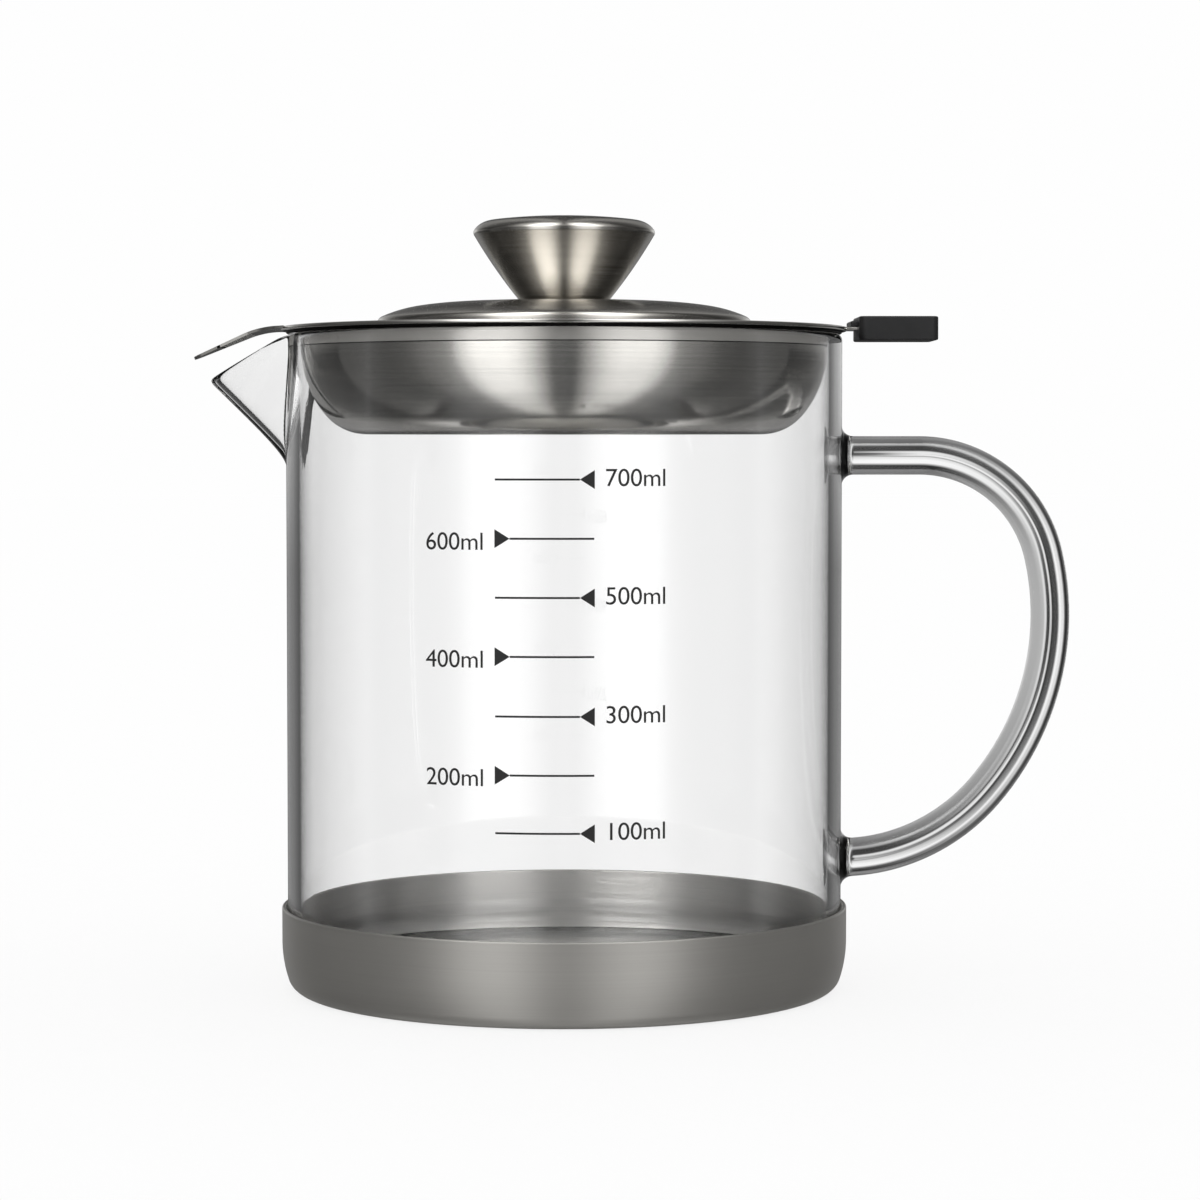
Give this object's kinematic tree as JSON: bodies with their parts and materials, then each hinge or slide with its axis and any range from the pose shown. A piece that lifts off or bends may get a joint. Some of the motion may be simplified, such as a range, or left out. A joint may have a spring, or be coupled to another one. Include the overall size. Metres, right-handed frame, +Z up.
{
  "type": "oil strainer jug",
  "caption": "Clear glass jug with a drawn-out spout and a glass rod handle, a steel base cup, a hanging steel strainer with tongue and grip, and a loose domed lid with a knob.",
  "frame": {"origin": "on the jug's axis, at the flat ring on which the base cup stands", "axes": "+Z up along the jug's axis, +X towards the handle, -X towards the spout, -Y towards the printed scale"},
  "size_m": [0.1708, 0.1102, 0.1504],
  "materials": {
    "base_steel": "satin, grain round the cup",
    "lid_steel": "satin, spun",
    "strainer_steel": "bright, drawn and lightly brushed",
    "mesh_steel": "woven wire",
    "fastener_steel": "bright",
    "glass": "clear, fire polished",
    "grip_silicone": "black, matt",
    "ring_silicone": "clear, matt"
  },
  "bodies": {
    "jug": {"base_cup": "base_steel", "seat_ring": "ring_silicone", "glass_body": "glass", "glass_handle": "glass"},
    "strainer": {"strainer_bowl": "strainer_steel", "strainer_mesh": "mesh_steel", "mesh_ring": "strainer_steel", "strainer_grip": "grip_silicone"},
    "lid": {"lid_plate": "lid_steel", "lid_knob": "lid_steel", "knob_screw": "fastener_steel", "knob_washer": "fastener_steel"}
  },
  "joints": [
    {"name": "strainer_lift", "type": "slide", "parent": "jug", "child": "strainer", "axis": [0, 0, 1], "range_m": [0, 0.06]},
    {"name": "lid_lift", "type": "slide", "parent": "strainer", "child": "lid", "axis": [0, 0, 1], "range_m": [0, 0.06]}
  ]
}
